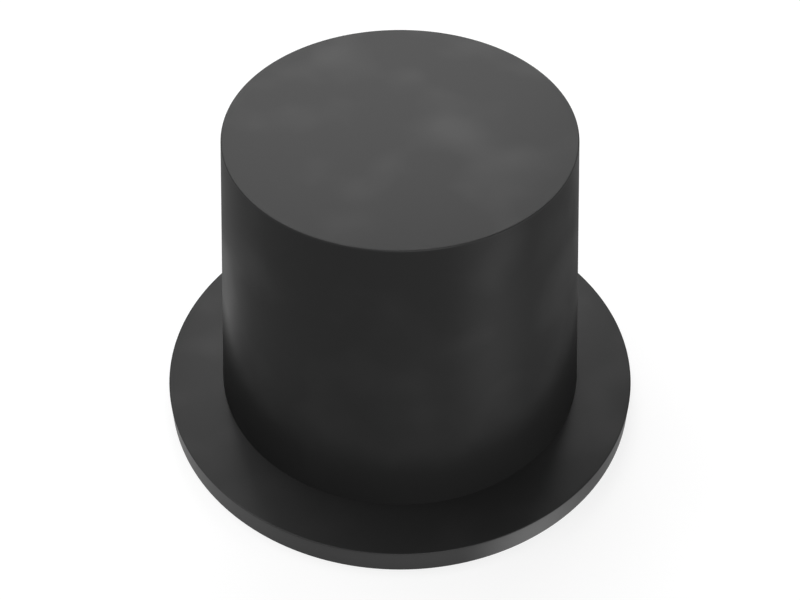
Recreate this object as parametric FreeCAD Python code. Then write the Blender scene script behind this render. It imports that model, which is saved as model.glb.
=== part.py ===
import FreeCAD, Part
import math
import os

# A protective plug: one thin-walled moulding, closed at its tip and open at its flange.
# The tapered shank is pushed into a round hole until it wedges there or the flange meets the panel.
# The frame is the plug's own: Z runs along its axis from the flange to the closed tip, and the
# origin is the centre of the flange's underside, the face that the plug stands on.

# Driving dimensions, in millimetres and degrees.
flange_diameter = 19.0
flange_thickness = 1.0
shank_height = 12.0
tip_diameter = 12.5
taper_angle = 5.0
wall_thickness = 1.0

# Radii of the moulded corners, in millimetres. The flange's rim and the shank's root stay sharp, because
# the mould's blocks meet there.
tip_edge_radius = 0.05
mouth_edge_radius = 0.3
inner_corner_radius = 0.5

# Values that follow from the driving dimensions.
total_height = flange_thickness + shank_height
flange_radius = flange_diameter / 2
tip_radius = tip_diameter / 2
taper = math.radians(taper_angle)
hollow_height = total_height - wall_thickness

position_tolerance = 1e-6
full_turn = 360.0


def outer_radius(z):
    """Radius of the shank's outer face at height z. It grows from the tip down to the flange."""
    return tip_radius + (total_height - z) * math.tan(taper)


def inner_radius(z):
    """Radius of the hollow at height z. The wall between the two tapers has the same thickness all along."""
    return outer_radius(z) - wall_thickness / math.cos(taper)


# The sharp corners of half the section, as (radius, height), in order round its outline.
tip_centre = (0.0, total_height)
tip_edge = (tip_radius, total_height)
shank_root = (outer_radius(flange_thickness), flange_thickness)
flange_upper_edge = (flange_radius, flange_thickness)
flange_lower_edge = (flange_radius, 0.0)
mouth_edge = (inner_radius(0.0), 0.0)
inner_corner = (inner_radius(hollow_height), hollow_height)
hollow_centre = (0.0, hollow_height)

section = [
    tip_centre,
    tip_edge,
    shank_root,
    flange_upper_edge,
    flange_lower_edge,
    mouth_edge,
    inner_corner,
    hollow_centre,
]

rounded_corners = [
    (tip_edge, tip_edge_radius),
    (mouth_edge, mouth_edge_radius),
    (inner_corner, inner_corner_radius),
]


def turned_section():
    """The plug with sharp corners: its half section turned once about the Z axis."""
    outline = [FreeCAD.Vector(radius, 0, height) for radius, height in section]
    face = Part.Face(Part.makePolygon(outline + outline[:1]))
    return face.revolve(FreeCAD.Vector(0, 0, 0), FreeCAD.Vector(0, 0, 1), full_turn)


def is_corner(edge, corner):
    """True for the round edge that a corner of the section makes."""
    if not isinstance(edge.Curve, Part.Circle):
        return False
    radius, height = corner
    same_radius = abs(edge.Curve.Radius - radius) < position_tolerance
    return same_radius and abs(edge.Curve.Center.z - height) < position_tolerance


def round_corners(solid):
    """Gives each corner of the section the radius that the mould leaves there."""
    for corner, radius in rounded_corners:
        edges = [edge for edge in solid.Edges if is_corner(edge, corner)]
        solid = solid.makeFillet(radius, edges)
    return solid


def protective_plug():
    """The whole plug as one closed solid."""
    solid = round_corners(turned_section())
    return solid.Solids[0]


os.makedirs("parts", exist_ok=True)
plug = protective_plug()
plug.exportStep("parts/protective_plug.step")

print(f"valid {plug.isValid()}, volume {plug.Volume:.1f} mm3, box {plug.BoundBox}")
print(f"shank diameter {2 * shank_root[0]:.2f} at the flange, {2 * tip_edge[0]:.2f} at the tip")
print(f"hollow diameter {2 * mouth_edge[0]:.2f} at the mouth, {2 * inner_corner[0]:.2f} at its end")
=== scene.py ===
import bpy
import bmesh
import math
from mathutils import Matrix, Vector


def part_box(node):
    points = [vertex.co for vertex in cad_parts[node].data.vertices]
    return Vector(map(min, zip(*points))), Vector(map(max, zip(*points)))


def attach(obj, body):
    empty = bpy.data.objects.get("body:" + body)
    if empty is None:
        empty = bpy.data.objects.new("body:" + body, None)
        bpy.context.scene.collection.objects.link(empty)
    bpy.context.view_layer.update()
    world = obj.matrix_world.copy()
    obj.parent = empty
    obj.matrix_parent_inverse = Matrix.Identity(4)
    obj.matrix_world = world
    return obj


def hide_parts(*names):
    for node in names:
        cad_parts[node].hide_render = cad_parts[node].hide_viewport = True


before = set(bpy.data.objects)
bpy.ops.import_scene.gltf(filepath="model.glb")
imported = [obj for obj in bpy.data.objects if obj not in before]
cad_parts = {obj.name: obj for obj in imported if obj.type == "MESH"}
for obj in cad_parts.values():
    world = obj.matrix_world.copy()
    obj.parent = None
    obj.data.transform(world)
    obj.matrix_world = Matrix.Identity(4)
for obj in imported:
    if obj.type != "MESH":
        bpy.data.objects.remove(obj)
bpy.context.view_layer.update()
mm = 0.001  # the frame is in metres
print("frame loaded:", sorted(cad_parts))

# The moulding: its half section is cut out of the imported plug, then turned into a smooth round piece.
moulding = {
    "name": "plug_moulding",
    "node": "protective_plug",
    "slot": "black_polyethylene",
    "turnSteps": 192,  # faces round the axis
    "mergeDistance": 0.0001 * mm,  # points this close are the same
    "straightAngle": 0.2,  # degrees; section points that turn less than this are dropped
    "rimEdgeRound": 0.02 * mm,  # the flange's moulded rim edges
    "rimEdgeSegments": 4,
    "sharpAngle": 40,  # degrees; an edge that turns more than this is sharp
    "holdDistance": 0.05 * mm,  # loops this close to each corner keep the faces true there
    "holdFrom": 0.4 * mm,  # section edges longer than this get such loops
}


def cutHalfSection(bm, merge):
    middle = (0, 0, 0)
    bmesh.ops.remove_doubles(bm, verts=bm.verts, dist=merge)
    bmesh.ops.bisect_plane(bm, geom=bm.verts[:] + bm.edges[:] + bm.faces[:], dist=merge, plane_co=middle,
                           plane_no=(0, 1, 0), clear_inner=True, clear_outer=True)
    bmesh.ops.bisect_plane(bm, geom=bm.verts[:] + bm.edges[:], dist=merge, plane_co=middle,
                           plane_no=(1, 0, 0), clear_inner=True)  # drops the half on the -X side
    bmesh.ops.remove_doubles(bm, verts=bm.verts, dist=merge)


def dropStraightPoints(bm, limit):
    inner = [v for v in bm.verts if len(v.link_edges) == 2]
    straight = [v for v in inner if v.calc_edge_angle() < limit]
    bmesh.ops.dissolve_verts(bm, verts=straight)


def roundRimEdges(bm, size, segments, merge):
    rim = max(v.co.x for v in bm.verts)
    corners = [v for v in bm.verts if math.isclose(v.co.x, rim, abs_tol=merge)]
    bmesh.ops.bevel(bm, geom=corners, offset=size, offset_type="OFFSET", affect="VERTICES",
                    segments=segments, profile=0.5, material=-1)


def splitNear(edge, end, distance):
    far = edge.other_vert(end)
    point = bmesh.utils.edge_split(edge, end, distance / edge.calc_length())[1]
    return next(e for e in point.link_edges if e.other_vert(point) == far)  # the long part


def addHoldingPoints(bm, distance, shortest):
    for edge in [e for e in bm.edges if e.calc_length() > shortest]:
        for end in edge.verts[:]:
            if len(end.link_edges) == 2:  # not at the axis
                edge = splitNear(edge, end, distance)


def turnSection(bm, steps, merge):
    bmesh.ops.spin(bm, geom=bm.verts[:] + bm.edges[:], cent=(0, 0, 0), axis=(0, 0, 1),
                   angle=2 * math.pi, steps=steps, use_merge=True)
    bmesh.ops.remove_doubles(bm, verts=bm.verts, dist=merge)  # closes both poles on the axis
    bmesh.ops.recalc_face_normals(bm, faces=bm.faces)


def shadeSmooth(bm, sharpAngle):
    for face in bm.faces:
        face.smooth = True
    for edge in bm.edges:
        edge.smooth = edge.calc_face_angle() < sharpAngle


def addPiece(bm, name, material):
    mesh = bpy.data.meshes.new(name)
    bm.to_mesh(mesh)
    bm.free()
    mesh.materials.append(material)
    piece = bpy.data.objects.new(name, mesh)
    bpy.context.collection.objects.link(piece)
    return piece


def makeMoulding(spec, material):
    bm = bmesh.new()
    bm.from_mesh(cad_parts[spec["node"]].data)
    cutHalfSection(bm, spec["mergeDistance"])
    dropStraightPoints(bm, math.radians(spec["straightAngle"]))
    roundRimEdges(bm, spec["rimEdgeRound"], spec["rimEdgeSegments"], spec["mergeDistance"])
    addHoldingPoints(bm, spec["holdDistance"], spec["holdFrom"])
    print("section:", len(bm.verts), "points")
    turnSection(bm, spec["turnSteps"], spec["mergeDistance"])
    shadeSmooth(bm, math.radians(spec["sharpAngle"]))
    piece = addPiece(bm, spec["name"], material)
    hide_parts(spec["node"])
    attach(piece, "root")
    print("moulding:", len(piece.data.polygons), "faces")


# Shader nodes: what feeds a socket is a number, a colour, a vector or another node's output.
def feed(tree, node, sources):
    for socket, source in sources.items():
        if isinstance(source, bpy.types.NodeSocket):
            tree.links.new(source, node.inputs[socket])
        else:
            node.inputs[socket].default_value = source


def addNode(tree, kind, sources, **settings):
    node = tree.nodes.new(kind)
    for name, value in settings.items():
        setattr(node, name, value)
    feed(tree, node, sources)
    return node.outputs


def addMaths(tree, operation, *values):
    return addNode(tree, "ShaderNodeMath", dict(enumerate(values)), operation=operation)[0]


def addRamp(tree, value, start, end, low=0, high=1, kind="SMOOTHSTEP"):
    sources = {"Value": value, "From Min": start, "From Max": end, "To Min": low, "To Max": high}
    return addNode(tree, "ShaderNodeMapRange", sources, interpolation_type=kind)["Result"]


def addMix(tree, mask, first, second, kind="FLOAT"):
    sources = {"Factor": mask, "A": first, "B": second}
    return addNode(tree, "ShaderNodeMix", sources, data_type=kind)["Result"]


def grey(level):
    return (level, level, level, 1)


def fromAxis(tree, place):
    flat = addNode(tree, "ShaderNodeVectorMath", {0: place, 1: (1, 1, 0)}, operation="MULTIPLY")
    return addNode(tree, "ShaderNodeVectorMath", {0: flat["Vector"]}, operation="LENGTH")["Value"]


# The plastic: satin black polyethylene. It has a thin gloss, stronger on the rim and the tip's edge, with
# faint clouds in it and a fine mould grain.
plastic = {
    "name": "satin_black_polyethylene",
    "dark": 0.024,  # linear grey levels
    "light": 0.027,  # in the clouds
    "specular": 0.0,  # the thin gloss gives all the reflection
    "roughness": 0.34,
    "cloudRoughness": 0.05,  # the clouds are this much smoother
    "gloss": 0.208,
    "cloudGloss": 0.268,
    "glossRoughness": 0.30,
    "rimGloss": 0.58,  # the mould is polished where it parts
    "rimFade": 0.02 * mm,
    "edgeGloss": 0.31,  # the tip's edge is rubbed a little shinier
    "edgeFade": 0.04 * mm,
    "cloudSize": 2.5 * mm,
    "cloudDetail": 2,
    "cloudBreakUp": 0.35,  # strength of each finer layer
    "cloudTurn": 165,  # degrees; the turn and the shift choose where the clouds lie
    "cloudShift": (99.41, 151.40, 35.74),  # in cloud sizes
    "cloudStart": 0.48,  # noise values where a cloud begins and is full
    "cloudFull": 0.77,
    "grainSize": 0.09 * mm,
    "grainDetail": 2,
    "grainStrength": 0.08,
    "grainDepth": 0.004 * mm,
}


def findClouds(tree, spec, place):
    moved = addNode(tree, "ShaderNodeMapping", {
        "Vector": place,
        "Location": spec["cloudShift"],
        "Rotation": (0, 0, math.radians(spec["cloudTurn"])),
        "Scale": [1 / spec["cloudSize"]] * 3,
    })
    noise = addNode(tree, "ShaderNodeTexNoise", {
        "Vector": moved["Vector"],
        "Scale": 1,  # the mapping has set the size
        "Detail": spec["cloudDetail"],
        "Roughness": spec["cloudBreakUp"],
    })
    return addRamp(tree, noise["Fac"], spec["cloudStart"], spec["cloudFull"], kind="LINEAR")


def findRim(tree, spec, radius, flangeRadius):
    fade = spec["rimFade"]  # the rim is what lies furthest from the axis
    return addRamp(tree, radius, flangeRadius - fade, flangeRadius - fade / 2)


def findTipEdge(tree, spec, place, radius, tipReach):
    height = addNode(tree, "ShaderNodeSeparateXYZ", {"Vector": place})["Z"]
    reach = addMaths(tree, "ADD", radius, height)  # largest on the tip's edge
    fade = spec["edgeFade"]
    return addRamp(tree, reach, tipReach - fade, tipReach - fade / 2)


def addGrain(tree, spec, place):
    noise = addNode(tree, "ShaderNodeTexNoise", {
        "Vector": place,
        "Scale": 1 / spec["grainSize"],
        "Detail": spec["grainDetail"],
    })
    bump = addNode(tree, "ShaderNodeBump", {
        "Height": noise["Fac"],
        "Strength": spec["grainStrength"],
        "Distance": spec["grainDepth"],
    })
    return bump["Normal"]


def makePlastic(spec, flangeRadius, tipReach):
    material = bpy.data.materials.new(spec["name"])
    material.use_nodes = True
    tree = material.node_tree
    place = addNode(tree, "ShaderNodeTexCoord", {})["Object"]
    radius = fromAxis(tree, place)
    clouds = findClouds(tree, spec, place)
    rim = findRim(tree, spec, radius, flangeRadius)
    tipEdge = findTipEdge(tree, spec, place, radius, tipReach)
    colour = addMix(tree, clouds, grey(spec["dark"]), grey(spec["light"]), kind="RGBA")
    smoothest = spec["roughness"] - spec["cloudRoughness"]
    roughness = addRamp(tree, clouds, 0, 1, spec["roughness"], smoothest, kind="LINEAR")
    gloss = addRamp(tree, clouds, 0, 1, spec["gloss"], spec["cloudGloss"], kind="LINEAR")
    gloss = addMix(tree, rim, gloss, spec["rimGloss"])
    gloss = addMix(tree, tipEdge, gloss, spec["edgeGloss"])
    grain = addGrain(tree, spec, place)
    feed(tree, tree.nodes["Principled BSDF"], {
        "Base Color": colour,
        "Specular IOR Level": spec["specular"],
        "Roughness": roughness,
        "Normal": grain,
        "Coat Weight": gloss,
        "Coat Roughness": spec["glossRoughness"],
        "Coat Normal": grain,
    })
    print("material:", spec["name"])
    return material


# The floor: pale, and white to the camera, with the shadow left in it. Reflections show it darker near the
# plug. The lamps reach only the near floor, so the far floor is lifted more.
floor = {
    "name": "floor",
    "radius": 1.5,  # metres
    "sides": 64,
    "drop": 0.005 * mm,
    "colour": 0.30,
    "lift": 0.78,
    "mirrorColour": 0.60,  # reflections show a deeper shadow
    "mirrorLift": 0.45,
    "farLift": 1.0,
    "near": 25 * mm,
    "far": 90 * mm,
}
# Light and shade on the floor that only reflections show: a ring of shade round the plug's foot, a fan of
# light to the right and the front, pools of light on the left and in front, and a shade on the right.
ring = {
    "start": 10.0 * mm,
    "darkest": 10.8 * mm,
    "end": 14.5 * mm,
    "light": 0.2,  # what is left where it is darkest
}
fan = {
    "start": (0, -5.8 * mm),
    "turn": -28,  # degrees from +X
    "spread": 32,  # degrees each side of its middle
    "lift": 1.4,
}
patches = {
    "left_pool": {"middle": (-11 * mm, 3.5 * mm), "radius": 6.5 * mm, "lift": 0.95},
    "front_pool": {"middle": (1.5 * mm, -14.5 * mm), "radius": 8 * mm, "lift": 0.45},
    "right_shade": {"middle": (16 * mm, 7 * mm), "radius": 9 * mm, "lift": -0.45},
}


def seenRays(tree):
    path = addNode(tree, "ShaderNodeLightPath", {})
    glossy = addMaths(tree, "MAXIMUM", path["Is Camera Ray"], path["Is Glossy Ray"])
    return addMaths(tree, "MAXIMUM", glossy, path["Is Transmission Ray"])


def ringOfShade(tree, spec, radius):
    inner = addRamp(tree, radius, spec["start"], spec["darkest"], 1, spec["light"])
    outer = addRamp(tree, radius, spec["darkest"], spec["end"], 0, 1 - spec["light"])
    return addMaths(tree, "ADD", inner, outer)


def fanOfLight(tree, spec, place):
    alongMiddle = 0.5  # what the radial gradient gives along the fan's middle
    wholeTurn = 360  # degrees
    turned = addNode(tree, "ShaderNodeMapping", {
        "Vector": place,
        "Location": (*spec["start"], 0),
        "Rotation": (0, 0, math.radians(spec["turn"])),
    }, vector_type="TEXTURE")
    around = addNode(tree, "ShaderNodeTexGradient", {"Vector": turned["Vector"]}, gradient_type="RADIAL")
    side = addMaths(tree, "SUBTRACT", around["Fac"], alongMiddle)
    offMiddle = addMaths(tree, "ABSOLUTE", side)
    return addRamp(tree, offMiddle, 0, spec["spread"] / wholeTurn, spec["lift"], 0)


def patchOfLight(tree, spec, place):
    moved = addNode(tree, "ShaderNodeMapping", {
        "Vector": place,
        "Location": (*spec["middle"], 0),
        "Scale": [spec["radius"]] * 3,
    }, vector_type="TEXTURE")
    ball = addNode(tree, "ShaderNodeTexGradient", {"Vector": moved["Vector"]}, gradient_type="SPHERICAL")
    return addRamp(tree, ball["Fac"], 0, 1, 0, spec["lift"])


def makeFloorMaterial(spec):
    material = bpy.data.materials.new(spec["name"])
    material.use_nodes = True
    tree = material.node_tree
    place = addNode(tree, "ShaderNodeTexCoord", {})["Object"]
    radius = fromAxis(tree, place)
    mirrored = addNode(tree, "ShaderNodeLightPath", {})["Is Glossy Ray"]
    colour = addMix(tree, mirrored, grey(spec["colour"]), grey(spec["mirrorColour"]), kind="RGBA")

    # the lift, lower in reflections and highest far away
    shade = ringOfShade(tree, ring, radius)
    mirrorLift = addMaths(tree, "MULTIPLY", shade, spec["mirrorLift"])
    nearLift = addRamp(tree, mirrored, 0, 1, spec["lift"], mirrorLift, kind="LINEAR")
    lift = addRamp(tree, radius, spec["near"], spec["far"], nearLift, spec["farLift"])

    # what only reflections show
    extra = addMaths(tree, "MULTIPLY", fanOfLight(tree, fan, place), shade)
    for patch in patches.values():
        extra = addMaths(tree, "ADD", extra, patchOfLight(tree, patch, place))
    mirrorLight = addMaths(tree, "MULTIPLY", extra, mirrored)

    feed(tree, tree.nodes["Principled BSDF"], {
        "Base Color": colour,
        "Roughness": 1,
        "Specular IOR Level": 0,
        "Emission Color": grey(1),
        "Emission Strength": addMaths(tree, "MULTIPLY_ADD", seenRays(tree), lift, mirrorLight),
    })
    return material


def makeFloor(spec):
    bm = bmesh.new()
    bmesh.ops.create_circle(bm, cap_ends=True, segments=spec["sides"], radius=spec["radius"])
    bmesh.ops.translate(bm, vec=(0, 0, -spec["drop"]), verts=bm.verts)
    piece = addPiece(bm, spec["name"], makeFloorMaterial(spec))
    print("floor made")


# The light: a pale surround and soft boxes. Azimuths are in degrees from the camera's side, positive to the
# right.
surround = {
    "ambient": 0.15,  # the light that it gives
    "seen": 1.0,  # how bright the camera and reflections see it
}
softBoxes = {
    "back_box": {"azimuth": 180, "elevation": 40, "wide": 56 * mm, "high": 50 * mm, "radiance": 5.5},
    "left_back_box": {"azimuth": -150, "elevation": 40, "wide": 56 * mm, "high": 50 * mm, "radiance": 0.9},
    "high_left_box": {"azimuth": -120, "elevation": 68, "wide": 56 * mm, "high": 50 * mm, "radiance": 4.9},
    "front_box": {"azimuth": 13, "elevation": 40, "wide": 84 * mm, "high": 50 * mm, "radiance": 2.3},
    "low_front_box": {"azimuth": 15, "elevation": 12, "wide": 56 * mm, "high": 50 * mm, "radiance": 2.2},
}
boxDistance = 110 * mm
aim = Vector((0, 0, 5 * mm))  # the boxes point here


def direction(azimuth, elevation):
    turn = math.radians(azimuth)
    rise = math.radians(elevation)
    return Vector((math.sin(turn) * math.cos(rise), -math.cos(turn) * math.cos(rise), math.sin(rise)))


def lookAt(thing, target):
    thing.rotation_euler = (target - thing.location).to_track_quat("-Z", "Y").to_euler()


def addSoftBox(name, spec):
    light = bpy.data.lights.new(name, "AREA")
    light.shape = "RECTANGLE"
    light.size = spec["wide"]
    light.size_y = spec["high"]
    light.energy = spec["radiance"] * math.pi * spec["wide"] * spec["high"]
    box = bpy.data.objects.new(name, light)
    box.location = aim + direction(spec["azimuth"], spec["elevation"]) * boxDistance
    lookAt(box, aim)
    box.visible_camera = False
    bpy.context.collection.objects.link(box)


def addSurround(spec):
    world = bpy.data.worlds.new("surround")
    bpy.context.scene.world = world
    world.use_nodes = True
    tree = world.node_tree
    strength = addRamp(tree, seenRays(tree), 0, 1, spec["ambient"], spec["seen"], kind="LINEAR")
    feed(tree, tree.nodes["Background"], {"Color": grey(1), "Strength": strength})


# The camera, at the photograph's angle.
camera = {
    "elevation": 45.0,  # degrees
    "distance": 51.47 * mm,
    "targetHeight": 4.57 * mm,
    "lens": 58.57,  # the lens and the sensor are in millimetres
    "sensor": 36.0,
    "clipStart": 1 * mm,
    "clipEnd": 10,  # metres
}


def addCamera(spec):
    data = bpy.data.cameras.new("camera")
    data.lens = spec["lens"]
    data.sensor_width = spec["sensor"]
    data.clip_start = spec["clipStart"]
    data.clip_end = spec["clipEnd"]
    eye = bpy.data.objects.new("camera", data)
    target = Vector((0, 0, spec["targetHeight"]))
    eye.location = target + direction(0, spec["elevation"]) * spec["distance"]
    lookAt(eye, target)
    bpy.context.collection.objects.link(eye)
    bpy.context.scene.camera = eye


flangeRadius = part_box(moulding["node"])[1].x
plugPoints = [v.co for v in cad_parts[moulding["node"]].data.vertices]
tipReach = max(point.xy.length + point.z for point in plugPoints)  # distance from the axis plus height
plasticMaterial = makePlastic(plastic, flangeRadius, tipReach)
makeMoulding(moulding, plasticMaterial)
makeFloor(floor)
addSurround(surround)
for boxName, boxSpec in softBoxes.items():
    addSoftBox(boxName, boxSpec)
addCamera(camera)
bpy.context.scene.view_settings.view_transform = "Standard"
print("light and camera set")
